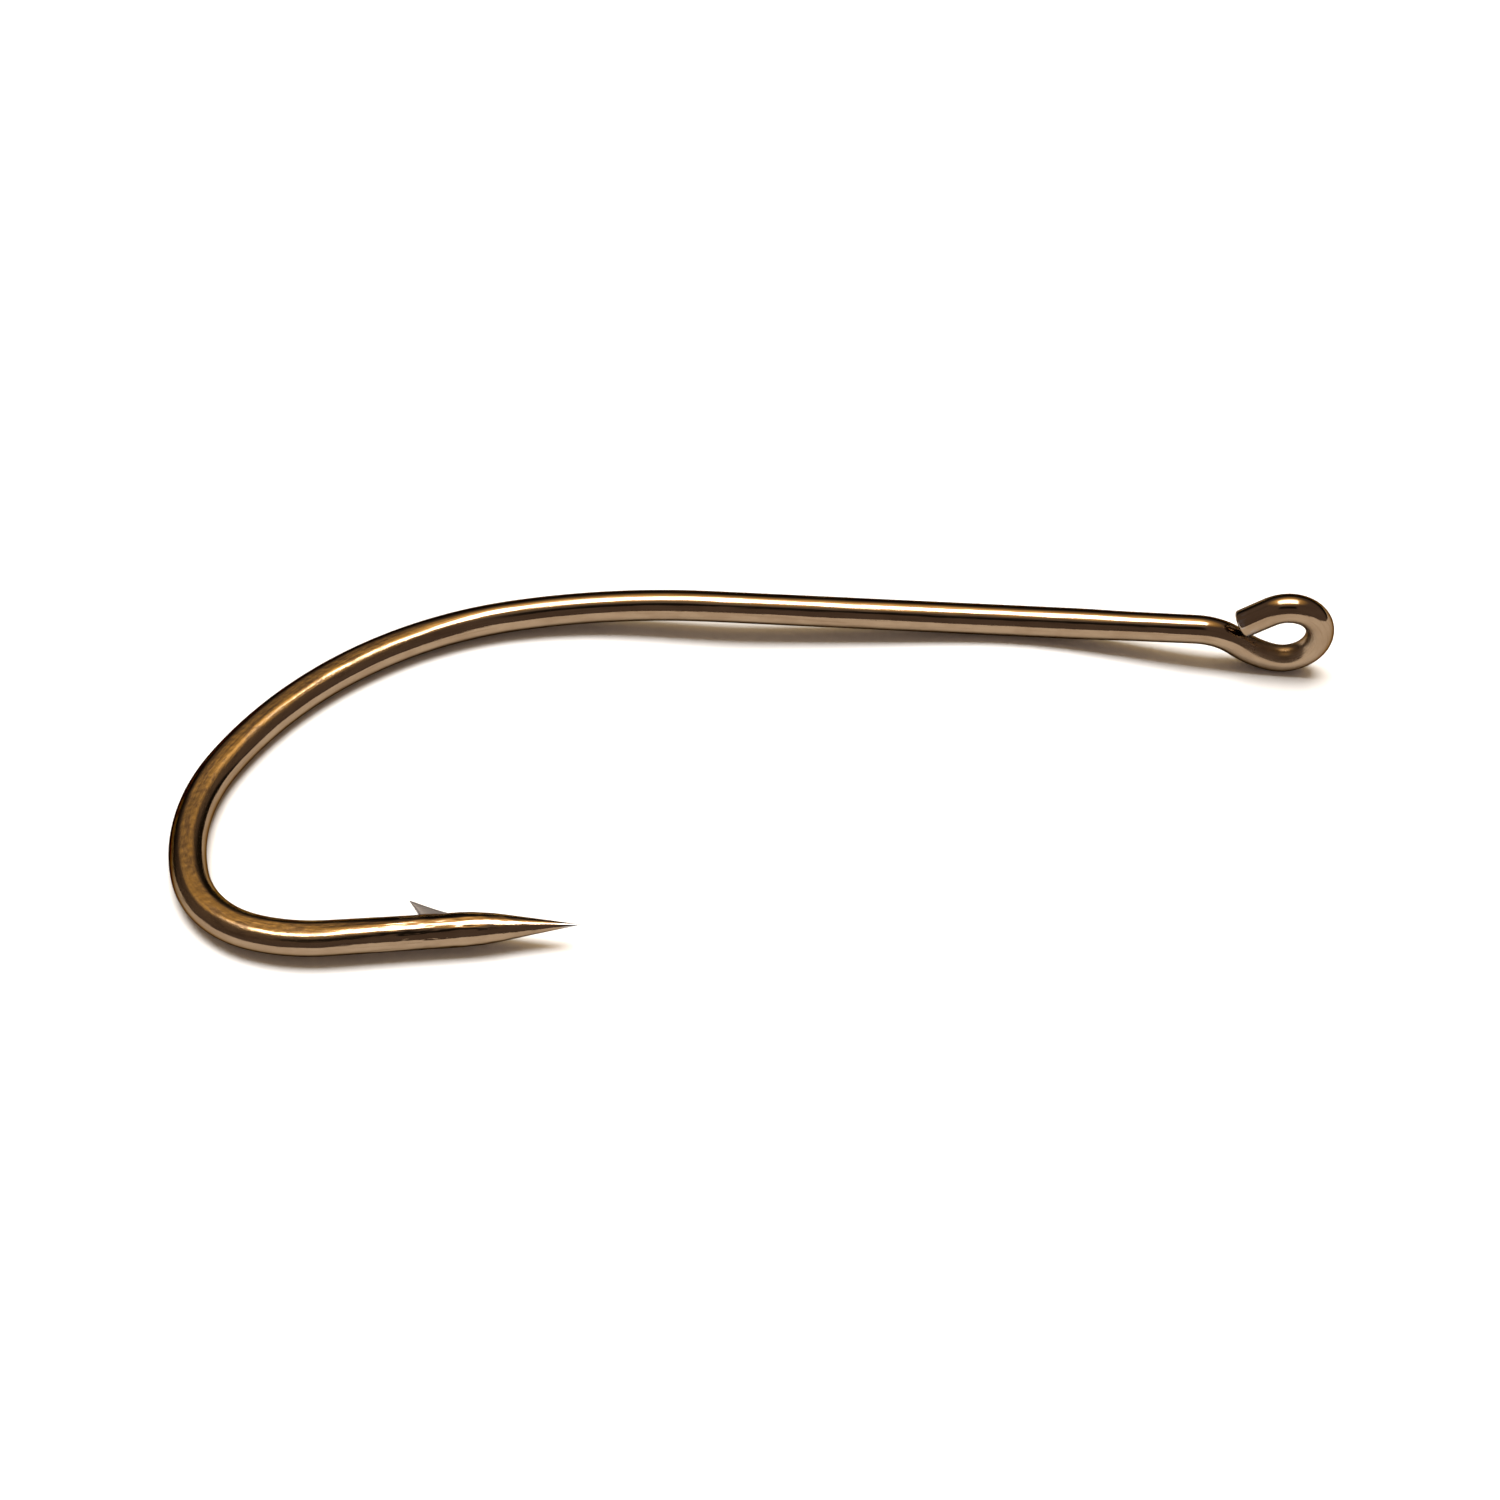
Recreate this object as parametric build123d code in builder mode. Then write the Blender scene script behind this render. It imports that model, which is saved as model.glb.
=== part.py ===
from build123d import *
import os
from math import cos, radians, sin, tan

# Single-point fishing hook with a ringed eye, bent and forged from one length of steel wire.
# Frame: origin at the centre of the eye's ring, +X along the shank and out past the eye,
# the hook's own plane is XY with the point on the -Y side, +Z square to that plane.
# Each node is one named stretch of the wire, and neighbouring stretches meet face to face.

# ---- driving dimensions (mm and degrees) ----
WIRE_DIA = 1.10  # shank, bend and front length
EYE_WIRE_DIA = 1.02  # the wire is drawn a little thinner for the eye
TAPER_START_X = -7.6  # the shank thins from here
TAPER_END_X = -5.2  # to the eye's wire here

RING_RADIUS = 1.20  # centre line of the eye's round part
RING_TURN = 216.0  # from the ring's bottom, out and over its top
CLOSING_RUN = 1.03  # straight end that closes the ring, just short of the neck
NECK_TURN = 34.6  # reverse bend, from the shank's axis down towards the ring's bottom
NECK_RADIUS = 2.5
CORNER_TURN = 20.0  # easy turn where the neck becomes the ring
CORNER_RADIUS = 3.5
BASE_TURN = NECK_TURN - CORNER_TURN  # the rest of the way down to the ring's bottom
BASE_RADIUS = 1.31

SHANK_END_X = -20.3  # the straight shank turns into the bend here
OPEN_BEND_ARCS = ((25.0, 16.0), (13.4, 52.0))  # radius and turn of each arc
HEEL_ARCS = ((6.8, 43.0), (3.4, 57.0), (6.5, 20.5))
FRONT_LENGTH = 4.0  # straight wire between the heel and the point
POINT_LENGTH = 3.9
POINT_HALF_ANGLE = 9.8  # of the ground cone, before it rounds over into the wire

FORGED_THICKNESS = 0.98  # across the two pressed flats
FORGE_START_X = -27.6  # the flats fade in from here
FORGE_FULL_X = -32.0  # and have their full depth from here

BARB_TIP = (-1.40, 0.87)  # behind the point's shoulder, and above the wire's surface
BARB_UNDERCUT = -1.03  # where its rear edge meets the wire
BARB_RUN_OUT = 0.25  # where its front edge meets the point
BARB_ROOT_WIDTH = 0.46
BARB_TIP_WIDTH = 0.14

WIRE_RADIUS = WIRE_DIA / 2
EYE_WIRE_RADIUS = EYE_WIRE_DIA / 2


def rise(radius, from_slope, to_slope):
    """How far an arc moves across the shank's axis between two slopes."""
    return radius * abs(cos(radians(from_slope)) - cos(radians(to_slope)))


def reach(radius, from_slope, to_slope):
    """How far an arc moves along the shank's axis between two slopes."""
    return radius * abs(sin(radians(from_slope)) - sin(radians(to_slope)))


def chain_of_arcs(start, heading, arcs):
    """Lay tangent arcs in the open BuildLine, and return where the last one ends."""
    for radius, turn in arcs:
        arc = JernArc(start=start, tangent=heading, radius=radius, arc_size=turn)
        start = arc @ 1
        heading = arc % 1
    return start, heading


# ---- shank: straight wire along X, thinned towards the eye ----
with BuildPart() as shank:
    with BuildSketch(Plane.XY):
        with BuildLine():
            Polyline(
                (SHANK_END_X, 0),
                (SHANK_END_X, WIRE_RADIUS),
                (TAPER_START_X, WIRE_RADIUS),
                (TAPER_END_X, EYE_WIRE_RADIUS),
                (TAPER_END_X, 0),
                close=True,
            )
        make_face()
    revolve(axis=Axis.X)

# ---- neck and eye ring: bent in the XZ plane, square to the hook's plane ----
# The neck's straight run takes up what its arcs leave, which centres the ring on the shank.
neck_run_drop = (
    RING_RADIUS
    - rise(NECK_RADIUS, 0, NECK_TURN)
    - rise(CORNER_RADIUS, NECK_TURN, BASE_TURN)
    - rise(BASE_RADIUS, BASE_TURN, 0)
)
neck_run = neck_run_drop / sin(radians(NECK_TURN))
neck_start_x = -(
    reach(NECK_RADIUS, 0, NECK_TURN)
    + neck_run * cos(radians(NECK_TURN))
    + reach(CORNER_RADIUS, NECK_TURN, BASE_TURN)
    + reach(BASE_RADIUS, BASE_TURN, 0)
)

with BuildPart() as neck:
    with BuildLine(Plane.XZ) as neck_line:
        Line((TAPER_END_X, 0), (neck_start_x, 0))
        neck_end, neck_heading = chain_of_arcs(
            (neck_start_x, 0), (1, 0), [(NECK_RADIUS, -NECK_TURN)]
        )
        Line(neck_end, neck_end + neck_heading * neck_run)
    with BuildSketch(Plane.YZ.offset(TAPER_END_X)):
        Circle(EYE_WIRE_RADIUS)
    sweep(path=neck_line.line)

with BuildPart() as eye_ring:
    with BuildLine(Plane.XZ) as ring_line:
        ring_end, ring_heading = chain_of_arcs(
            neck_line.line @ 1,
            neck_line.line % 1,
            [(CORNER_RADIUS, CORNER_TURN), (BASE_RADIUS, BASE_TURN), (RING_RADIUS, RING_TURN)],
        )
        Line(ring_end, ring_end + ring_heading * CLOSING_RUN)
    with BuildSketch(Plane(origin=neck_line.line @ 1, z_dir=neck_line.line % 1)):
        Circle(EYE_WIRE_RADIUS)
    sweep(path=ring_line.line)

# ---- forging die: the gap between two dies, which press flats on the bend ----
far_x = 2 * SHANK_END_X
with BuildPart() as die_gap:
    with BuildSketch(Plane.XZ):
        with BuildLine():
            Polyline(
                (0, WIRE_RADIUS),
                (FORGE_START_X, WIRE_RADIUS),
                (FORGE_FULL_X, FORGED_THICKNESS / 2),
                (far_x, FORGED_THICKNESS / 2),
                (far_x, 0),
                (0, 0),
                close=True,
            )
        make_face()
    extrude(amount=abs(far_x), both=True)
    mirror(about=Plane.XY)

# ---- open bend, heel and front length: bent in the XY plane, between the dies ----
with BuildPart() as open_bend:
    with BuildLine(Plane.XY) as open_bend_line:
        chain_of_arcs((SHANK_END_X, 0), (-1, 0), OPEN_BEND_ARCS)
    with BuildSketch(Plane.YZ.offset(SHANK_END_X)):
        Circle(WIRE_RADIUS)
    sweep(path=open_bend_line.line)
    add(die_gap.part, mode=Mode.INTERSECT)

with BuildPart() as heel:
    with BuildLine(Plane.XY) as heel_line:
        chain_of_arcs(open_bend_line.line @ 1, open_bend_line.line % 1, HEEL_ARCS)
    with BuildSketch(Plane(origin=heel_line.line @ 0, z_dir=heel_line.line % 0)):
        Circle(WIRE_RADIUS)
    sweep(path=heel_line.line)
    add(die_gap.part, mode=Mode.INTERSECT)

front_start = heel_line.line @ 1
front_heading = heel_line.line % 1
point_start = front_start + front_heading * FRONT_LENGTH

with BuildPart() as front_length:
    with BuildSketch(Plane(origin=front_start, z_dir=front_heading)):
        Circle(WIRE_RADIUS)
    extrude(amount=FRONT_LENGTH)
    add(die_gap.part, mode=Mode.INTERSECT)

# ---- point: a ground cone that rounds over into the wire ----
# In the point's plane, x runs along the wire to the tip and y towards the shank.
point_plane = Plane(origin=point_start, x_dir=front_heading, z_dir=(0, 0, 1))
cone_slope = tan(radians(POINT_HALF_ANGLE))
shoulder_radius = (POINT_LENGTH * cone_slope - WIRE_RADIUS) / (
    1 / cos(radians(POINT_HALF_ANGLE)) - 1
)

with BuildPart() as point:
    with BuildSketch(point_plane):
        with BuildLine():
            base = Line((0, 0), (0, WIRE_RADIUS))
            shoulder = JernArc(
                start=base @ 1, tangent=(1, 0), radius=shoulder_radius, arc_size=-POINT_HALF_ANGLE
            )
            Polyline(shoulder @ 1, (POINT_LENGTH, 0), (0, 0))
        make_face()
    revolve(axis=Axis(origin=point_start, direction=front_heading))

# ---- barb: a sliver cut up from the wire's inner side, raked back from the point ----
barb_tip_y = WIRE_RADIUS + BARB_TIP[1]
with BuildPart() as barb:
    with BuildSketch(point_plane):
        Polygon(
            (BARB_TIP[0], barb_tip_y),
            (BARB_UNDERCUT, WIRE_RADIUS),
            (BARB_UNDERCUT, 0),
            (BARB_RUN_OUT, 0),
            (BARB_RUN_OUT, WIRE_RADIUS),
            align=None,
        )
    extrude(amount=BARB_ROOT_WIDTH, both=True)
    with BuildSketch(Plane(origin=point_start, x_dir=(0, 0, -1), z_dir=front_heading)):
        Polygon(
            (-BARB_ROOT_WIDTH / 2, 0),
            (BARB_ROOT_WIDTH / 2, 0),
            (BARB_ROOT_WIDTH / 2, WIRE_RADIUS),
            (BARB_TIP_WIDTH / 2, barb_tip_y),
            (-BARB_TIP_WIDTH / 2, barb_tip_y),
            (-BARB_ROOT_WIDTH / 2, WIRE_RADIUS),
            align=None,
        )
    extrude(amount=2 * abs(BARB_TIP[0]), both=True, mode=Mode.INTERSECT)
    add(front_length.part, mode=Mode.SUBTRACT)
    add(point.part, mode=Mode.SUBTRACT)

shank.part.label = "shank"
neck.part.label = "neck"
eye_ring.part.label = "eye_ring"
open_bend.part.label = "open_bend"
heel.part.label = "heel"
front_length.part.label = "front_length"
point.part.label = "point"
barb.part.label = "barb"

os.makedirs("parts", exist_ok=True)
export_step(shank.part, "parts/shank.step")
export_step(neck.part, "parts/neck.step")
export_step(eye_ring.part, "parts/eye_ring.step")
export_step(open_bend.part, "parts/open_bend.step")
export_step(heel.part, "parts/heel.step")
export_step(front_length.part, "parts/front_length.step")
export_step(point.part, "parts/point.step")
export_step(barb.part, "parts/barb.step")

print("neck starts at x", neck_start_x, "after a straight of", neck_run)
print("ring ends at", ring_line.line @ 1)
print("open bend ends at", open_bend_line.line @ 1, "heading", open_bend_line.line % 1)
print("heel ends at", front_start, "heading", front_heading)
print("point starts at", point_start, "and its tip is at", point_start + front_heading * POINT_LENGTH)
print("shoulder radius", shoulder_radius)
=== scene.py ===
from math import cos, pi, radians, sin
import bpy
import numpy as np
from mathutils import Matrix, Vector, noise


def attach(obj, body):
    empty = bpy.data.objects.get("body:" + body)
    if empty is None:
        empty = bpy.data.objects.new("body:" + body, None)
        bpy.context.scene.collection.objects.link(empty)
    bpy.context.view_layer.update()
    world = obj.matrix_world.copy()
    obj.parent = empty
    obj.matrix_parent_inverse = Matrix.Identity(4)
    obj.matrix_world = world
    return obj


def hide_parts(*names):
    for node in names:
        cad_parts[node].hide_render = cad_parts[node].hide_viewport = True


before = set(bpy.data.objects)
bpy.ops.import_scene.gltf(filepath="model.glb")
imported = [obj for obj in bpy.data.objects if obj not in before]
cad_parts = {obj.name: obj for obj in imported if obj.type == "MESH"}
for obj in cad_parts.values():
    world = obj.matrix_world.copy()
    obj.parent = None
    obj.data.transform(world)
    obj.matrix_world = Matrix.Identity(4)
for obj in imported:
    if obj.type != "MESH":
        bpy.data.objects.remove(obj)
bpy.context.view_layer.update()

# Single-point fishing hook with a ringed eye, in bronzed steel, lying on a pale table.
# Lengths are in millimetres until MM turns them into metres. The hook's plane is XY, the shank
# runs along X, the point is on the -Y side, and the eye's ring stands in the XZ plane.
# "Along" is distance on the wire from the shank's eye end: negative round the eye, and
# positive down the shank, round the bend and out to the tip.
MM = 0.001

# ---- the wire's line: straight runs, and arcs given as (radius, turn in degrees) ----
NECK_END_X = -5.2  # the neck starts here, towards the eye
NECK_START_RUN = 2.041
NECK_ARC = (2.5, -34.6)
NECK_RUN = 0.369
RING_ARCS = ((3.5, 20.0), (1.31, 14.6), (1.20, 216.0))
CLOSING_RUN = 1.12
SHANK_RUN = 15.1
OPEN_BEND_ARCS = ((25.0, 16.0), (13.4, 52.0))
HEEL_ARCS = ((6.8, 43.0), (3.4, 57.0), (6.5, 20.5))
FRONT_RUN = 4.0
POINT_RUN = 3.9
HOOK_EASE = 1.2  # one arc eases into the next over about this length
EYE_EASE = 0.35
STEP = 0.01  # of the summed line

# ---- the wire's section ----
WIRE_RADIUS = 0.55
TAPER_RUN = 2.4  # the shank thins over this length, down to the eye's wire
# The wire's radius along the eye, which bending thinned unevenly, as (along, radius).
EYE_RADII = ((-11.3, 0.508), (-9.2, 0.516), (-6.4, 0.472), (-4.0, 0.505), (0.0, 0.52))
POINT_HALF_ANGLE = 9.8
POINT_TIP_RADIUS = 0.006
POINT_DROOP = 0.10  # the tip sits this far to the outside of the wire's own line
FORGED_HALF_WIDTH = 0.605  # in the hook's plane, where the bend is pressed flat
FORGED_HALF_HEIGHT = 0.522  # of the round sides, had the flats not cut them off
FORGED_HALF_THICKNESS = 0.49
FORGE_START_X = -27.5
FORGE_FULL_X = -33.0
FLAT_SHARPNESS = 55.0  # higher gives a crisper edge to the pressed flats
FLAT_WAVE = 0.010  # the pressed flats wander up and down by this much
FLAT_HAMMER = 0.0035  # and finer dents ride on that
PRESSED_SINE = (0.45, 0.80)  # the flats' finish starts and is full at these sines
CHATTER = 0.008  # depth of the ripples left where the point was ground
CHATTER_SPAN = (46.2, 47.8, 50.2, 51.8)  # along: they start, are full, start to fade, are gone
CHATTER_SKEW = (0.7, -0.4)  # the ripples lean by this much across and up the wire
FINE_CHATTER_SHARE = 0.5
# Grains of the wire's shape, as (stretch along it, scale, seed).
WAVE_GRAIN = (2.5, 2.2, 3.0)
HAMMER_GRAIN = (1.6, 8.0, 9.0)
CHATTER_GRAIN = (2.4, 5.0, 5.0)
FINE_CHATTER_GRAIN = (3.0, 10.0, 7.0)
CUT_END_ROUND = 0.10  # the cut end's edge is rounded over this length
CUT_END_SHARE = 0.72  # down to this share of the radius
RING_SPACING = 0.03
AROUND = 96  # vertices in each ring

# ---- barb ----
BARB_TIP = (-1.53, 0.79)  # behind the point's shoulder, and above the wire's surface
BARB_REAR = (-1.11, -0.14)  # its root is sunk into the wire
BARB_FRONT = (0.40, -0.14)
BARB_BLUNT = 0.13  # the tip is this long
BARB_BLUNT_FALL = 0.3  # and falls forward by this share of its length
BARB_HOLLOW = (0.06, 0.07)  # how far its rear and front edges curve in
BARB_ROOT_HALF_WIDTH = 0.17
BARB_TIP_HALF_WIDTH = 0.04
BARB_NARROWING = 0.7  # below 1, it narrows sooner than in proportion
BARB_SQUARENESS = 0.55  # of its section: 1 is an ellipse, and less is squarer
BARB_TIP_ROUNDING = 8  # higher keeps the rounding nearer the tip
BARB_LEVELS = 60
BARB_AROUND = 64

# ---- camera ----
LENS = 58.56
SENSOR = 36.0
CAMERA_AIM = (-18.522, -6.989, 0.0)
CAMERA_DISTANCE = 81.767
CAMERA_PITCH = 45.968
CAMERA_YAW = -2.420
CAMERA_ROLL = -1.058

# ---- table: a sheet on the plane that the ring's foot and the heel's underside both touch ----
TABLE_SLOPE = (-0.03827, 0.01982)
TABLE_DROP = -1.693
TABLE_SIZE = 3.0  # metres
TABLE_NEAR = (-60.0, 40.0)  # the sheet is finely divided between these, along X and along Y
TABLE_GRID = 0.8
# The sheet's swells, as (x, y, rise, reach along X, reach along Y).
SHANK_SWELL = (-9.2, -0.5, 0.70, 5.2, 7.0)
SHANK_DIP = (-20.6, -0.5, -0.28, 3.6, 6.0)
POINT_SWELL = (-26.0, -15.5, 0.20, 4.5, 3.0)

# ---- studio light, by direction ----
# Tilt is in degrees: 0 in front of the table, 90 overhead, 180 behind. The side fades are in
# degrees to the left or right. A fade is where a light starts to fade and where it is gone, from
# its own tilt. LAMP_FRONT, GLOW_WARMING and ROOM_BEHIND_TILT are where a blend starts and is full.
ROOM = (0.22, 0.165, 0.14, 1)
ROOM_BEHIND = (0.02, 0.016, 0.012, 1)
ROOM_BEHIND_TILT = (138, 156)
VIEWER = (0.03, 0.024, 0.02, 1)  # the dark shape of whoever stands in front
VIEWER_TILT = 50.0
VIEWER_FADE = (6, 10)
VIEWER_SIDE_FADE = (14, 20)
CEILING = (0.42, 0.36, 0.30, 1)
CEILING_TILT = 74.0
CEILING_FADE = (8, 14)
CEILING_SIDE_FADE = (14, 24)
LAMP = (15.0, 15.0, 15.0, 1)
LAMP_TILT = 97.0
LAMP_FRONT = (-13.5, -11.5)
LAMP_BACK_FADE = (9, 15)
LAMP_SIDE_FADE = (17, 22)
GLOW = (1.50, 0.98, 0.34, 1)
GLOW_FADE = (15, 31)
GLOW_NEAR_LAMP = (3.0, 2.1, 1.0, 1)
GLOW_WARMING = (13, 21)
GLOW_SIDE_SHARE = 0.75  # the glow reaches further to the sides
GLOW_BEHIND_SHARE = -0.35  # and further behind the lamp than in front of it
SEEN_SKY = (0.93, 0.93, 0.93, 1)

# ---- finishes ----
BRONZE_LIGHT = (0.265, 0.195, 0.130, 1)
BRONZE = (0.225, 0.160, 0.104, 1)
BRONZE_DARK = (0.105, 0.064, 0.036, 1)
GILT = (0.33, 0.23, 0.115, 1)
# Painted shade: the next colour darkens the wire's outer side as a dark rim, from the eye to round
# the heel.
PAINTED_RIM_SHADE = (0.035, 0.024, 0.018, 1)
BARE_STEEL = (0.30, 0.30, 0.31, 1)
CUT_STEEL_LIGHT = (0.34, 0.33, 0.34, 1)
CUT_STEEL_DARK = (0.22, 0.20, 0.20, 1)
PALE_SHEET = (0.86, 0.86, 0.86, 1)
EDGE_TINT = (0.20, 0.18, 0.165, 1)
STREAK_SHARE = 0.45
GILT_SHARE = 0.55
STAIN_SHARE = 0.85
# Share, side and reach of the painted shade along the wire's outer side.
PAINTED_RIM_SHADE_SHARE = 0.72
PAINTED_RIM_SHADE_SIDE = (-0.11, -0.30)  # it starts and is full this far to the wire's outer side
PAINTED_RIM_SHADE_FADE = (38.0, 41.5)  # along: it ends round the heel
BARE_TIP = (0.75, 0.35)  # back from the tip
NIPPED_END = (0.15, 0.70)  # from the eye's cut end
NIPPED_SHARE = 0.6
GROUND_SPAN = (44.5, 47.5, 50.3, 52.0)  # along: the scratches start, are full, fade, are gone
ROUGH_INSIDE_EYE = 0.26  # added to the roughness there
INSIDE_EYE_HEIGHT = (0.05, 0.32)  # it starts and is full at these heights over the wire's line
INSIDE_EYE_ALONG = (-3.0, -4.6)
ROUND_ROUGHNESS = (0.04, 0.11)
FLAT_ROUGHNESS = (0.10, 0.27)
CUT_ROUGHNESS = (0.32, 0.45)
CUT_METALLIC = 0.85
SHEET_ROUGHNESS = 0.9
LACQUER_RELIEF = 0.003
CUT_RELIEF = 0.004
PIT_DEPTH = 1.3  # these three are shares of the drawing lines' depth
WANDER_DEPTH = 2.2
SCRATCH_DEPTH = 7.0
# Noises over the straightened wire, as (scale, stretch along it, detail, roughness).
BLOTCHES = (2.2, 2.6, 4.0, 0.6)
DRAWING_LINES = (14.0, 30.0, 4.0, 0.6)
STAINS = (5.0, 3.5, 4.0, 0.65)
PITS = (18.0, 3.0, 3.0, 0.6)
WANDER = (5.0, 14.0, 2.0, 0.5)
SCRATCHES = (6.0, 7.0, 1.5, 0.5)
CUTTER_MARKS = (14.0, 5.0, 3.0, 0.6)
# The noise values at which each one starts to show and shows in full.
BLOTCHES_SHOW = (0.35, 0.68)
STREAKS_SHOW = (0.5, 0.8)
STAINS_SHOW = (0.46, 0.66)
NIPPED_SHOW = (0.50, 0.58)
ROUND_ROUGHER = (0.3, 0.8)
FLAT_ROUGHER = (0.35, 0.7)
CUTTER_MARKS_SHOW = (0.3, 0.7)


def smooth(t):
    t = np.clip(t, 0, 1)
    return t * t * (3 - 2 * t)


def arc_runs(arcs):
    """(length, turn) of each arc, in millimetres and radians."""
    return [(radius * abs(radians(turn)), radians(turn)) for radius, turn in arcs]


def plane_line(runs, heading, ease):
    """Sum a flat line from its runs. Returns distances, points and headings."""
    length = sum(run for run, turn in runs)
    s = np.arange(0, length + STEP, STEP)
    curvature = np.zeros(len(s))
    start = 0.0
    for run, turn in runs:
        inside = (s >= start) & (s < start + run)
        curvature[inside] = turn / run
        start += run
    width = max(3, int(ease / STEP) | 1)
    kernel = np.hanning(width + 2)[1:-1]
    padded = np.pad(curvature, width // 2, mode="edge")
    curvature = np.convolve(padded, kernel / kernel.sum(), mode="valid")
    turned = np.concatenate([[0], np.cumsum((curvature[1:] + curvature[:-1]) / 2 * STEP)])
    angle = heading + turned
    middle = (angle[1:] + angle[:-1]) / 2
    x = np.concatenate([[0], np.cumsum(np.cos(middle) * STEP)])
    y = np.concatenate([[0], np.cumsum(np.sin(middle) * STEP)])
    return s, x, y, angle


def eye_side():
    """The neck and ring, in the XZ plane: distance runs negative from the shank's end."""
    runs = [(NECK_START_RUN, 0.0)] + arc_runs([NECK_ARC]) + [(NECK_RUN, 0.0)]
    runs += arc_runs(RING_ARCS) + [(CLOSING_RUN, 0.0)]
    s, x, z, angle = plane_line(runs, 0.0, EYE_EASE)
    points = np.stack([NECK_END_X + x, 0 * x, z], 1)
    tangents = -np.stack([np.cos(angle), 0 * x, np.sin(angle)], 1)
    return -s[::-1], points[::-1], tangents[::-1]


def hook_side():
    """The shank, bend and point, in the XY plane."""
    runs = [(SHANK_RUN, 0.0)] + arc_runs(OPEN_BEND_ARCS + HEEL_ARCS)
    runs += [(FRONT_RUN + POINT_RUN, 0.0)]
    s, x, y, angle = plane_line(runs, pi, HOOK_EASE)
    points = np.stack([NECK_END_X + x, y, 0 * x], 1)
    tangents = np.stack([np.cos(angle), np.sin(angle), 0 * x], 1)
    return s, points, tangents


def wire_line():
    """The whole wire, from its cut end at the eye to the point, with its section's two axes."""
    s_eye, p_eye, t_eye = eye_side()
    s_hook, p_hook, t_hook = hook_side()
    s = np.concatenate([s_eye, s_hook[1:]])
    points = np.concatenate([p_eye, p_hook[1:]])
    tangents = np.concatenate([t_eye, t_hook[1:]])
    # Across lies along Y all round the eye, and in the hook's plane from the shank on.
    side = np.cross(np.array([0, 0, 1.0]), tangents)
    across = np.where(s[:, None] < 0, np.array([0, -1.0, 0]), side)
    up = np.cross(tangents, across)
    return s, points, tangents, across, up


def stretch_ends():
    """Distance along the wire at which each named stretch starts and ends."""
    neck = NECK_START_RUN + NECK_ARC[0] * abs(radians(NECK_ARC[1])) + NECK_RUN
    ring = sum(run for run, turn in arc_runs(RING_ARCS)) + CLOSING_RUN
    open_bend = sum(run for run, turn in arc_runs(OPEN_BEND_ARCS))
    heel = sum(run for run, turn in arc_runs(HEEL_ARCS))
    marks = [-neck - ring, -neck, 0.0, SHANK_RUN]
    marks += [marks[-1] + open_bend]
    marks += [marks[-1] + heel]
    marks += [marks[-1] + FRONT_RUN]
    marks += [marks[-1] + POINT_RUN]
    names = ["eye_ring", "neck", "shank", "open_bend", "heel", "front_length", "point"]
    return [(name, marks[i], marks[i + 1]) for i, name in enumerate(names)]


def point_scale(back):
    """Share of the wire's radius left at a distance back from the tip."""
    slope = np.tan(radians(POINT_HALF_ANGLE))
    rounding = (POINT_RUN * slope - WIRE_RADIUS) / (1 / cos(radians(POINT_HALF_ANGLE)) - 1)
    cone = back * slope
    from_shoulder = POINT_RUN - back
    ease = WIRE_RADIUS - rounding + np.sqrt(np.maximum(rounding**2 - from_shoulder**2, 0))
    shoulder_end = rounding * sin(radians(POINT_HALF_ANGLE))
    radius = np.where(from_shoulder < shoulder_end, ease, cone)
    radius = np.where(from_shoulder < 0, WIRE_RADIUS, radius)
    return np.maximum(radius, POINT_TIP_RADIUS) / WIRE_RADIUS


def grain(coords, stretch, scale, seed):
    """Smooth noise at each point of the straightened wire, from -1 to 1."""
    where = coords * np.array([scale / stretch, scale, scale]) + seed
    return np.array([noise.noise(Vector(p)) for p in where.tolist()])


def tool_marks(s, u, v, forged):
    """Waviness of the pressed flats, and the ripples round the ground point's shoulder."""
    coords = np.stack([np.broadcast_to(s[:, None], u.shape), u, v], 2)
    wave = np.zeros(u.shape)
    rows = forged > 0
    if rows.any():
        flat = coords[rows].reshape(-1, 3)
        rise = FLAT_WAVE * grain(flat, *WAVE_GRAIN) + FLAT_HAMMER * grain(flat, *HAMMER_GRAIN)
        wave[rows] = rise.reshape(-1, u.shape[1])
    first, full, fade, gone = CHATTER_SPAN
    share = smooth((s - first) / (full - first)) * smooth((gone - s) / (gone - fade))
    chatter = np.zeros(u.shape)
    rows = share > 0
    if rows.any():
        ground = coords[rows].reshape(-1, 3)
        ground[:, 0] += CHATTER_SKEW[0] * ground[:, 1] + CHATTER_SKEW[1] * ground[:, 2]
        fine = FINE_CHATTER_SHARE * grain(ground, *FINE_CHATTER_GRAIN)
        ripple = grain(ground, *CHATTER_GRAIN) + fine
        chatter[rows] = ripple.reshape(-1, u.shape[1]) * share[rows, None] * CHATTER / WIRE_RADIUS
    return wave, chatter


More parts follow.
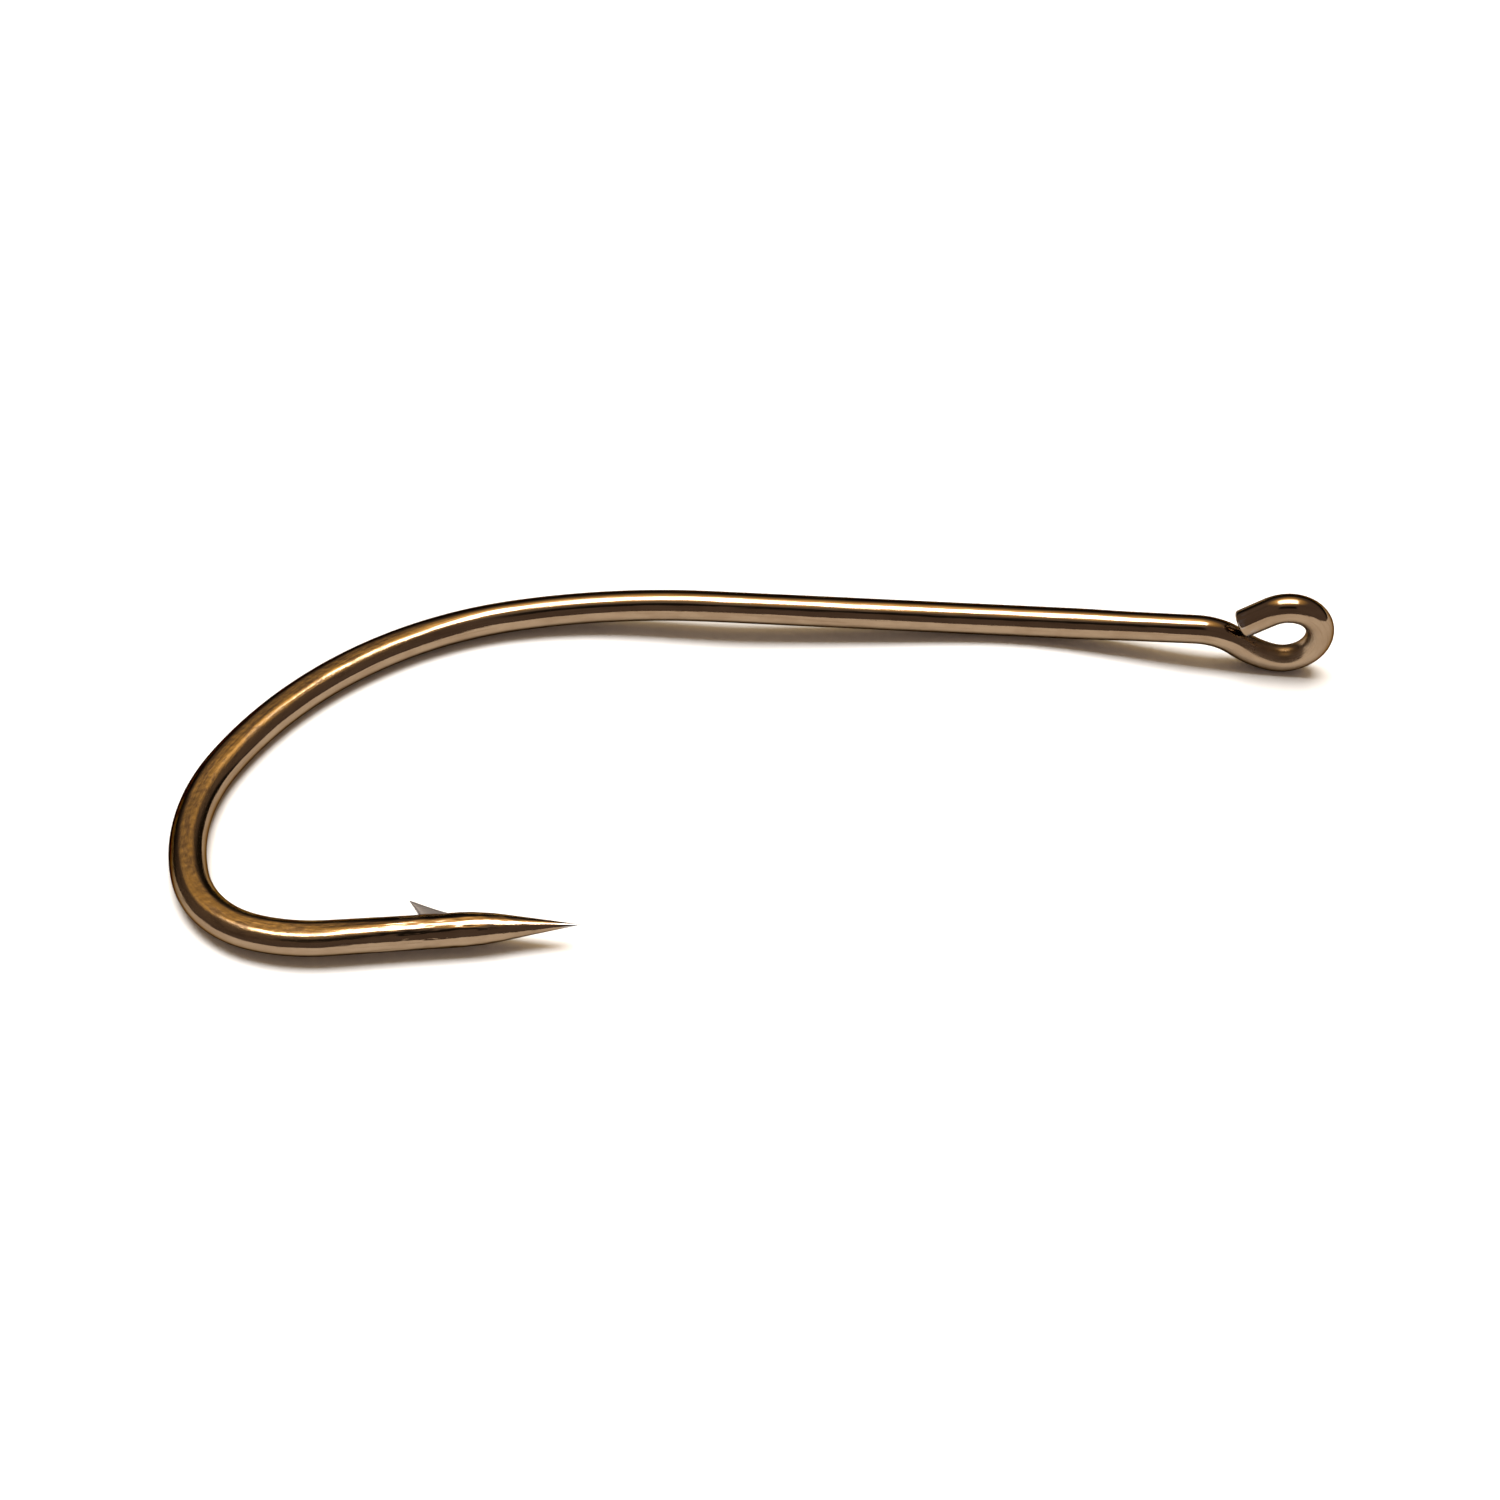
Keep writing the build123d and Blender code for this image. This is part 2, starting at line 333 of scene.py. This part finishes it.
def wire_rings(s, line, end):
    """Vertices, straightened coordinates and pressed share of the rings at distances s."""
    line_s, points, tangents, across, up = line
    where = [np.stack([np.interp(s, line_s, a[:, k]) for k in range(3)], 1)
             for a in (points, across, up)]
    centre, side, top = where
    theta = np.linspace(0, 2 * pi, AROUND, endpoint=False)[None]
    eye_s, eye_r = zip(*EYE_RADII)
    taper = smooth(s / TAPER_RUN)
    radius = np.where(s < 0, np.interp(s, eye_s, eye_r),
                      EYE_RADII[-1][1] + (WIRE_RADIUS - EYE_RADII[-1][1]) * taper)
    fade_in = smooth((FORGE_START_X - centre[:, 0]) / (FORGE_START_X - FORGE_FULL_X))
    forged = np.where(s > SHANK_RUN, fade_in, 0)
    width = radius + forged * (FORGED_HALF_WIDTH - WIRE_RADIUS)
    radius = radius + forged * (FORGED_HALF_HEIGHT - WIRE_RADIUS)
    from_cut = np.clip((s - line_s[0]) / CUT_END_ROUND, 0, 1)
    rounded = CUT_END_SHARE + (1 - CUT_END_SHARE) * np.sqrt(1 - (1 - from_cut)**2)
    scale = point_scale(end - s) * rounded
    width = width * scale
    radius = radius * scale
    u = width[:, None] * np.cos(theta)
    v = radius[:, None] * np.sin(theta)
    wave, chatter = tool_marks(s, u, v, forged)
    u = u * (1 + chatter)
    v = v * (1 + chatter)
    half = (FORGED_HALF_THICKNESS + wave) * scale[:, None]
    past_flat = (np.abs(v) / half) ** FLAT_SHARPNESS
    v = v + forged[:, None] * (v / (1 + past_flat) ** (1 / FLAT_SHARPNESS) - v)
    droop = 2 * POINT_DROOP * smooth((s - end + POINT_RUN) / (2 * POINT_RUN))
    centre = centre - side * droop[:, None]
    verts = centre[:, None] + side[:, None] * u[..., None] + top[:, None] * v[..., None]
    straight = np.stack([np.broadcast_to(s[:, None], u.shape), u, v], 2)
    starts, full = PRESSED_SINE
    pressed = forged[:, None] * smooth((np.abs(np.sin(theta)) - starts) / (full - starts))
    return verts, straight, np.broadcast_to(pressed, u.shape)


def grid_mesh(name, verts, straight, pressed):
    """A closed tube mesh from rings of vertices, with a flat cap at each end."""
    rings, around = verts.shape[:2]
    first = np.arange(rings - 1)[:, None] * around + np.arange(around)[None]
    turn = np.arange(rings - 1)[:, None] * around + (np.arange(around)[None] + 1) % around
    faces = np.stack([first, turn, turn + around, first + around], 2).reshape(-1, 4).tolist()
    faces.append(list(range(around))[::-1])
    faces.append(list(range((rings - 1) * around, rings * around)))
    mesh = bpy.data.meshes.new(name)
    mesh.from_pydata((verts.reshape(-1, 3) * MM).tolist(), [], faces)
    mesh.polygons.foreach_set("use_smooth", [True] * (len(faces) - 2) + [False] * 2)
    layer = mesh.attributes.new("wire_coord", "FLOAT_VECTOR", "POINT")
    layer.data.foreach_set("vector", straight.reshape(-1).astype(np.float32))
    layer = mesh.attributes.new("pressed", "FLOAT", "POINT")
    layer.data.foreach_set("value", pressed.reshape(-1).astype(np.float32))
    ends = [(i, (i + 1) % around) for i in range(around)]
    last = (rings - 1) * around
    ends = {frozenset(e) for e in ends} | {frozenset((a + last, b + last)) for a, b in ends}
    sharp = [frozenset(e.vertices) in ends for e in mesh.edges]
    edge_layer = mesh.attributes.new("sharp_edge", "BOOLEAN", "EDGE")
    edge_layer.data.foreach_set("value", sharp)
    mesh.update()
    obj = bpy.data.objects.new(name, mesh)
    bpy.context.scene.collection.objects.link(obj)
    return obj


def wire_stretch(name, start, stop, line, end):
    count = max(8, int(round((stop - start) / RING_SPACING)))
    s = np.linspace(start, stop, count + 1)
    verts, straight, pressed = wire_rings(s, line, end)
    return grid_mesh("wire_" + name, verts, straight, pressed)


def barb_piece(line, shoulder):
    """A raked sliver: sections lofted from its root, inside the wire, to its tip."""
    line_s, points, tangents, across, up = line
    origin = np.array([np.interp(shoulder, line_s, points[:, k]) for k in range(3)])
    along = np.array([np.interp(shoulder, line_s, tangents[:, k]) for k in range(3)])
    along = along / np.linalg.norm(along)
    inward = np.cross(np.array([0, 0, 1.0]), along)
    t = np.linspace(0, 1, BARB_LEVELS)
    tip = np.array(BARB_TIP) + np.array([0, WIRE_RADIUS])
    rear = np.array(BARB_REAR) + np.array([0, WIRE_RADIUS])
    front = np.array(BARB_FRONT) + np.array([0, WIRE_RADIUS])
    hollow = np.stack([np.zeros(len(t)), np.sin(pi * t)], 1)
    rear_line = rear + (tip - rear) * t[:, None] + hollow[:, ::-1] * BARB_HOLLOW[0]
    front_tip = tip + BARB_BLUNT * np.array([1, -BARB_BLUNT_FALL])
    front_line = front + (front_tip - front) * t[:, None] - hollow * BARB_HOLLOW[1]
    middle = (rear_line + front_line) / 2
    half = (front_line - rear_line) / 2
    narrowing = (BARB_TIP_HALF_WIDTH - BARB_ROOT_HALF_WIDTH) * t**BARB_NARROWING
    width = BARB_ROOT_HALF_WIDTH + narrowing
    theta = np.linspace(0, 2 * pi, BARB_AROUND, endpoint=False)
    c = np.sign(np.cos(theta)) * np.abs(np.cos(theta)) ** BARB_SQUARENESS
    d = np.sign(np.sin(theta)) * np.abs(np.sin(theta)) ** BARB_SQUARENESS
    tip_round = np.sqrt(np.clip(1 - t**BARB_TIP_ROUNDING, 0.02, 1))
    flat = middle[:, None] + half[:, None] * (c[None, :, None] * tip_round[:, None, None])
    z = width[:, None] * d[None] * tip_round[:, None]
    verts = origin + flat[..., :1] * along + flat[..., 1:] * inward
    verts = verts + z[..., None] * np.array([0, 0, 1.0])
    straight = np.concatenate([flat, z[..., None]], 2)
    return grid_mesh("hook_barb", verts, straight, np.zeros(z.shape))


# ---- materials ----
def new_material(name):
    material = bpy.data.materials.new(name)
    material.use_nodes = True
    tree = material.node_tree
    shader = tree.nodes["Principled BSDF"]
    return material, tree, shader


def node(tree, kind, **values):
    made = tree.nodes.new(kind)
    for key, value in values.items():
        setattr(made, key, value)
    return made


def feed(tree, socket, value):
    if isinstance(value, bpy.types.NodeSocket):
        tree.links.new(value, socket)
    else:
        socket.default_value = value


def maths(tree, operation, *values):
    made = node(tree, "ShaderNodeMath", operation=operation)
    for i, value in enumerate(values):
        feed(tree, made.inputs[i], value)
    return made.outputs[0]


def remap(tree, value, low, high, to_low=0.0, to_high=1.0):
    made = node(tree, "ShaderNodeMapRange", interpolation_type="SMOOTHSTEP")
    for i, v in enumerate((value, low, high, to_low, to_high)):
        feed(tree, made.inputs[i], v)
    return made.outputs[0]


def product(tree, a, b):
    return maths(tree, "MULTIPLY", a, b)


def fade(tree, value, full, gone):
    """1 up to where it is full, easing to 0 where it is gone."""
    return remap(tree, value, full, gone, 1.0, 0.0)


def around(tree, value, centre, full, gone):
    """1 near the centre, easing to 0 on both sides of it."""
    offset = maths(tree, "ABSOLUTE", maths(tree, "SUBTRACT", value, centre))
    return fade(tree, offset, full, gone)


def blend_colour(tree, share, a, b):
    made = node(tree, "ShaderNodeMix", data_type="RGBA")
    feed(tree, made.inputs["Factor"], share)
    feed(tree, made.inputs[6], a)
    feed(tree, made.inputs[7], b)
    return made.outputs[2]


def wire_noise(tree, coords, scale, stretch, detail, rough):
    """Noise over the straightened wire, drawn out along it by the stretch."""
    mapping = node(tree, "ShaderNodeMapping")
    mapping.inputs["Scale"].default_value = (scale / stretch, scale, scale)
    tree.links.new(coords, mapping.inputs["Vector"])
    made = node(tree, "ShaderNodeTexNoise")
    made.inputs["Scale"].default_value = 1.0
    made.inputs["Detail"].default_value = detail
    made.inputs["Roughness"].default_value = rough
    tree.links.new(mapping.outputs[0], made.inputs["Vector"])
    return made.outputs["Fac"]


def relief(tree, shader, height, depth):
    bump = node(tree, "ShaderNodeBump")
    bump.inputs["Strength"].default_value = 1.0
    bump.inputs["Distance"].default_value = depth * MM
    feed(tree, bump.inputs["Height"], height)
    feed(tree, shader.inputs["Normal"], bump.outputs[0])


def lacquer_colour(tree, coords, pressed, drawn, stain, start, end):
    """Streaked bronze, gilded and stained on the flats, with painted shade on the outer side, bare
    at both ends.
    """
    split = node(tree, "ShaderNodeSeparateXYZ")
    feed(tree, split.inputs[0], coords)
    along, inward = split.outputs[0], split.outputs[1]
    blotch = wire_noise(tree, coords, *BLOTCHES)
    colour = blend_colour(tree, remap(tree, blotch, *BLOTCHES_SHOW), BRONZE_LIGHT, BRONZE)
    streaks = product(tree, remap(tree, drawn, *STREAKS_SHOW), STREAK_SHARE)
    colour = blend_colour(tree, streaks, colour, BRONZE_DARK)
    colour = blend_colour(tree, product(tree, pressed, GILT_SHARE), colour, GILT)
    stained = product(tree, remap(tree, stain, *STAINS_SHOW), pressed)
    colour = blend_colour(tree, product(tree, stained, STAIN_SHARE), colour, BRONZE_DARK)
    # Painted shade: a dark rim along the wire's outer side, fading out round the heel.
    outer = remap(tree, inward, *PAINTED_RIM_SHADE_SIDE)
    outer = product(tree, outer, fade(tree, along, *PAINTED_RIM_SHADE_FADE))
    rim_shade = product(tree, outer, PAINTED_RIM_SHADE_SHARE)
    colour = blend_colour(tree, rim_shade, colour, PAINTED_RIM_SHADE)
    tip = remap(tree, along, end - BARE_TIP[0], end - BARE_TIP[1])
    nipped = fade(tree, along, start + NIPPED_END[0], start + NIPPED_END[1])
    nipped = product(tree, nipped, remap(tree, stain, *NIPPED_SHOW))
    bare = maths(tree, "MAXIMUM", tip, product(tree, nipped, NIPPED_SHARE))
    return blend_colour(tree, bare, colour, BARE_STEEL)


def lacquer_roughness(tree, coords, pressed, drawn, stain):
    """Glossy on the round wire, satin on the flats, and rougher inside the eye."""
    split = node(tree, "ShaderNodeSeparateXYZ")
    feed(tree, split.inputs[0], coords)
    along, up = split.outputs[0], split.outputs[2]
    mix = node(tree, "ShaderNodeMix")
    feed(tree, mix.inputs["Factor"], pressed)
    feed(tree, mix.inputs[2], remap(tree, drawn, *ROUND_ROUGHER, *ROUND_ROUGHNESS))
    feed(tree, mix.inputs[3], remap(tree, stain, *FLAT_ROUGHER, *FLAT_ROUGHNESS))
    inside_eye = remap(tree, up, *INSIDE_EYE_HEIGHT)
    inside_eye = product(tree, inside_eye, remap(tree, along, *INSIDE_EYE_ALONG))
    return maths(tree, "MULTIPLY_ADD", inside_eye, ROUGH_INSIDE_EYE, mix.outputs[0])


def lacquer_height(tree, coords, pressed, drawn):
    """Drawing lines everywhere, pits on the flats, and scratches where the point was ground."""
    split = node(tree, "ShaderNodeSeparateXYZ")
    feed(tree, split.inputs[0], coords)
    along = split.outputs[0]
    pits = wire_noise(tree, coords, *PITS)
    wander = wire_noise(tree, coords, *WANDER)
    scratches = wire_noise(tree, coords, *SCRATCHES)
    starts, full, fading, gone = GROUND_SPAN
    ground = product(tree, remap(tree, along, starts, full), fade(tree, along, fading, gone))
    height = maths(tree, "MULTIPLY_ADD", product(tree, pits, pressed), PIT_DEPTH, drawn)
    height = maths(tree, "MULTIPLY_ADD", wander, WANDER_DEPTH, height)
    return maths(tree, "MULTIPLY_ADD", product(tree, scratches, ground), SCRATCH_DEPTH, height)


def bronzed_steel(start, end):
    """Bronze-brown lacquer over drawn wire."""
    material, tree, shader = new_material("bronzed_steel")
    coords = node(tree, "ShaderNodeAttribute", attribute_name="wire_coord").outputs["Vector"]
    pressed = node(tree, "ShaderNodeAttribute", attribute_name="pressed").outputs["Fac"]
    drawn = wire_noise(tree, coords, *DRAWING_LINES)
    stain = wire_noise(tree, coords, *STAINS)
    colour = lacquer_colour(tree, coords, pressed, drawn, stain, start, end)
    feed(tree, shader.inputs["Base Color"], colour)
    feed(tree, shader.inputs["Roughness"], lacquer_roughness(tree, coords, pressed, drawn, stain))
    shader.inputs["Metallic"].default_value = 1.0
    shader.inputs["Specular Tint"].default_value = EDGE_TINT
    relief(tree, shader, lacquer_height(tree, coords, pressed, drawn), LACQUER_RELIEF)
    return material


def cut_steel():
    """Grey steel, finely marked by the cutter."""
    material, tree, shader = new_material("cut_steel")
    coords = node(tree, "ShaderNodeAttribute", attribute_name="wire_coord").outputs["Vector"]
    marks = wire_noise(tree, coords, *CUTTER_MARKS)
    darker = remap(tree, marks, *CUTTER_MARKS_SHOW)
    colour = blend_colour(tree, darker, CUT_STEEL_LIGHT, CUT_STEEL_DARK)
    feed(tree, shader.inputs["Base Color"], colour)
    shader.inputs["Metallic"].default_value = CUT_METALLIC
    rougher = remap(tree, marks, *CUTTER_MARKS_SHOW, *CUT_ROUGHNESS)
    feed(tree, shader.inputs["Roughness"], rougher)
    relief(tree, shader, marks, CUT_RELIEF)
    return material


def table_material():
    material, tree, shader = new_material("table_white")
    shader.inputs["Base Color"].default_value = PALE_SHEET
    shader.inputs["Roughness"].default_value = SHEET_ROUGHNESS
    shader.inputs["Specular IOR Level"].default_value = 0.0
    return material


# ---- stage ----
def make_table():
    """A pale sheet that lies a little unevenly under the shank and the point."""
    near = np.arange(TABLE_NEAR[0], TABLE_NEAR[1], TABLE_GRID)
    edge = TABLE_SIZE / 2 / MM
    lines = np.concatenate([[-edge], near, [edge]])
    x, y = np.meshgrid(lines, lines)
    z = TABLE_DROP + TABLE_SLOPE[0] * x + TABLE_SLOPE[1] * y
    for at_x, at_y, rise, reach_x, reach_y in (SHANK_SWELL, SHANK_DIP, POINT_SWELL):
        z = z + rise * np.exp(-((x - at_x) / reach_x)**2 - ((y - at_y) / reach_y)**2)
    rows, columns = x.shape
    first = (np.arange(rows - 1)[:, None] * columns + np.arange(columns - 1)[None]).reshape(-1, 1)
    faces = (first + np.array([0, 1, columns + 1, columns])).tolist()
    mesh = bpy.data.meshes.new("table")
    mesh.from_pydata((np.stack([x, y, z], 2).reshape(-1, 3) * MM).tolist(), [], faces)
    mesh.polygons.foreach_set("use_smooth", [True] * len(faces))
    mesh.materials.append(table_material())
    table = bpy.data.objects.new("table", mesh)
    bpy.context.scene.collection.objects.link(table)


def overhead_glow(tree, ahead, sideways):
    """How far a direction is from the lamp, stretched to the sides and behind."""
    long_way = product(tree, sideways, GLOW_SIDE_SHARE)
    squares = [maths(tree, "POWER", value, 2.0) for value in (ahead, long_way)]
    reach = maths(tree, "SQRT", maths(tree, "ADD", *squares))
    behind = product(tree, maths(tree, "MAXIMUM", ahead, 0.0), GLOW_BEHIND_SHARE)
    return maths(tree, "ADD", reach, behind)


def studio_sky():
    """Light by direction: a soft box overhead, a warm glow round it, and a dark room beyond."""
    world = bpy.data.worlds.new("studio")
    bpy.context.scene.world = world
    world.use_nodes = True
    tree = world.node_tree
    split = node(tree, "ShaderNodeSeparateXYZ")
    feed(tree, split.inputs[0], node(tree, "ShaderNodeTexCoord").outputs["Generated"])
    x, y, z = split.outputs
    tilt = maths(tree, "ARCTAN2", z, product(tree, y, -1.0))
    tilt = product(tree, tilt, 180 / pi)
    sideways = product(tree, maths(tree, "ARCSINE", x), 180 / pi)
    off_side = maths(tree, "ABSOLUTE", sideways)
    colour = blend_colour(tree, remap(tree, tilt, *ROOM_BEHIND_TILT), ROOM, ROOM_BEHIND)
    viewer = product(tree, around(tree, tilt, VIEWER_TILT, *VIEWER_FADE),
                     fade(tree, off_side, *VIEWER_SIDE_FADE))
    colour = blend_colour(tree, viewer, colour, VIEWER)
    ceiling = product(tree, around(tree, tilt, CEILING_TILT, *CEILING_FADE),
                      fade(tree, off_side, *CEILING_SIDE_FADE))
    colour = blend_colour(tree, ceiling, colour, CEILING)
    ahead = maths(tree, "SUBTRACT", tilt, LAMP_TILT)
    reach = overhead_glow(tree, ahead, sideways)
    warm = blend_colour(tree, remap(tree, reach, *GLOW_WARMING), GLOW_NEAR_LAMP, GLOW)
    colour = blend_colour(tree, fade(tree, reach, *GLOW_FADE), colour, warm)
    lamp = product(tree, remap(tree, ahead, *LAMP_FRONT), fade(tree, ahead, *LAMP_BACK_FADE))
    lamp = product(tree, lamp, fade(tree, off_side, *LAMP_SIDE_FADE))
    colour = blend_colour(tree, lamp, colour, LAMP)
    seen = node(tree, "ShaderNodeLightPath").outputs["Is Camera Ray"]
    colour = blend_colour(tree, seen, colour, SEEN_SKY)
    feed(tree, tree.nodes["Background"].inputs["Color"], colour)


def make_camera():
    pitch, yaw, roll = radians(CAMERA_PITCH), radians(CAMERA_YAW), radians(CAMERA_ROLL)
    forward = Vector((sin(yaw) * cos(pitch), cos(yaw) * cos(pitch), -sin(pitch)))
    level = Vector((cos(yaw), -sin(yaw), 0))
    down = forward.cross(level)
    right = level * cos(roll) + down * sin(roll)
    below = down * cos(roll) - level * sin(roll)
    place = (Vector(CAMERA_AIM) - forward * CAMERA_DISTANCE) * MM
    data = bpy.data.cameras.new("camera")
    data.lens = LENS
    data.sensor_width = SENSOR
    data.clip_start = 1 * MM
    data.clip_end = 20
    camera = bpy.data.objects.new("camera", data)
    turned = Matrix((right, -below, -forward)).transposed().to_4x4()
    camera.matrix_world = Matrix.Translation(place) @ turned
    bpy.context.scene.collection.objects.link(camera)
    bpy.context.scene.camera = camera


def main():
    scene = bpy.context.scene
    scene.view_settings.view_transform = "Standard"
    line = wire_line()
    ends = stretch_ends()
    end = ends[-1][2]
    bronze = bronzed_steel(ends[0][1], end)
    for name, start, stop in ends:
        piece = wire_stretch(name, start, stop, line, end)
        piece.data.materials.append(bronze)
        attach(piece, "root")
        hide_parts(name)
    barb = barb_piece(line, ends[-1][1])
    barb.data.materials.append(cut_steel())
    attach(barb, "root")
    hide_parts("barb")
    make_table()
    studio_sky()
    make_camera()


main()
